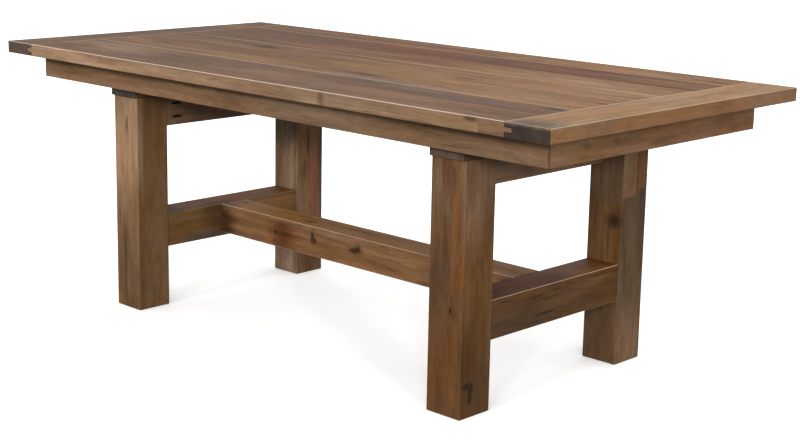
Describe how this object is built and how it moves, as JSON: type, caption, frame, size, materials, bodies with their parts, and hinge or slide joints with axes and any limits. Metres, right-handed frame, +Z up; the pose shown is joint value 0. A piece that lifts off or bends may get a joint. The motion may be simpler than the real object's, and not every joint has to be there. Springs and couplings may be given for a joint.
{
  "type": "trestle dining table",
  "caption": "Rectangular trestle dining table in solid wood: plank top with breadboard ends, mitred apron, square legs joined in end frames, and a long low stretcher.",
  "frame": {"origin": "on the floor, under the middle of the table top", "axes": "+X along the table's length, +Y across it from the front to the back, +Z up"},
  "size_m": [2.055, 0.99, 0.762],
  "materials": {
    "top_wood": "satin",
    "frame_wood": "satin",
    "pale_wood": "plain",
    "steel": "zinc plated",
    "brass": "plain"
  },
  "bodies": {
    "root": {"apron_back": "frame_wood", "apron_front": "frame_wood", "apron_left": "frame_wood", "apron_right": "frame_wood", "apron_screws": "steel", "batten_screws": "steel", "bearer_bolt_washers": "steel", "bearer_bolts": "steel", "bearer_left": "frame_wood", "bearer_right": "frame_wood", "board_splines": "pale_wood", "breadboard_left": "top_wood", "breadboard_pins": "pale_wood", "breadboard_right": "top_wood", "centre_batten": "pale_wood", "corner_block_back_left": "pale_wood", "corner_block_back_right": "pale_wood", "corner_block_front_left": "pale_wood", "corner_block_front_right": "pale_wood", "corner_block_screws": "steel", "leg_back_left": "frame_wood", "leg_back_right": "frame_wood", "leg_bolt_washers": "steel", "leg_bolts": "steel", "leg_front_left": "frame_wood", "leg_front_right": "frame_wood", "lower_rail_left": "frame_wood", "lower_rail_right": "frame_wood", "stretcher": "frame_wood", "stretcher_screws": "steel", "threaded_inserts": "brass", "top_board_1": "top_wood", "top_board_2": "top_wood", "top_board_3": "top_wood", "top_board_4": "top_wood", "top_board_5": "top_wood", "top_board_6": "top_wood", "upper_rail_left": "frame_wood", "upper_rail_right": "frame_wood", "upper_rail_screws": "steel"}
  },
  "joints": []
}
